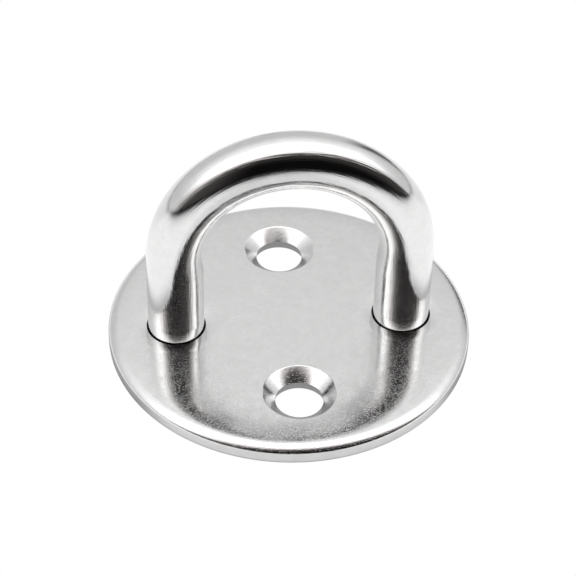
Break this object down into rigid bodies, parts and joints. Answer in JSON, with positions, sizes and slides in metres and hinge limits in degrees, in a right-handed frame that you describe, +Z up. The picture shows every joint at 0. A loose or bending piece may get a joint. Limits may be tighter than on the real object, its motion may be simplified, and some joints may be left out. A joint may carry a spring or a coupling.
{
  "type": "eye plate",
  "caption": "Round stamped plate with countersunk screw holes and a bent round bar welded through it as a fixed eye, for tying or shackling a line to a deck.",
  "frame": {"origin": "centre of the plate's mounting face, which is the bottom centre of the part", "axes": "+Z up out of the deck towards the top of the bow, X through the two legs of the bow, Y through the two screw holes, with -Y towards the picture's viewer"},
  "size_m": [0.04, 0.04, 0.0277],
  "materials": {
    "plate_steel": "polished stainless steel",
    "bow_steel": "bright polished stainless steel",
    "weld_steel": "dressed stainless steel weld"
  },
  "bodies": {
    "root": {"base_plate": "plate_steel", "eye_bow": "bow_steel", "weld_left": "weld_steel", "weld_right": "weld_steel"}
  },
  "joints": []
}
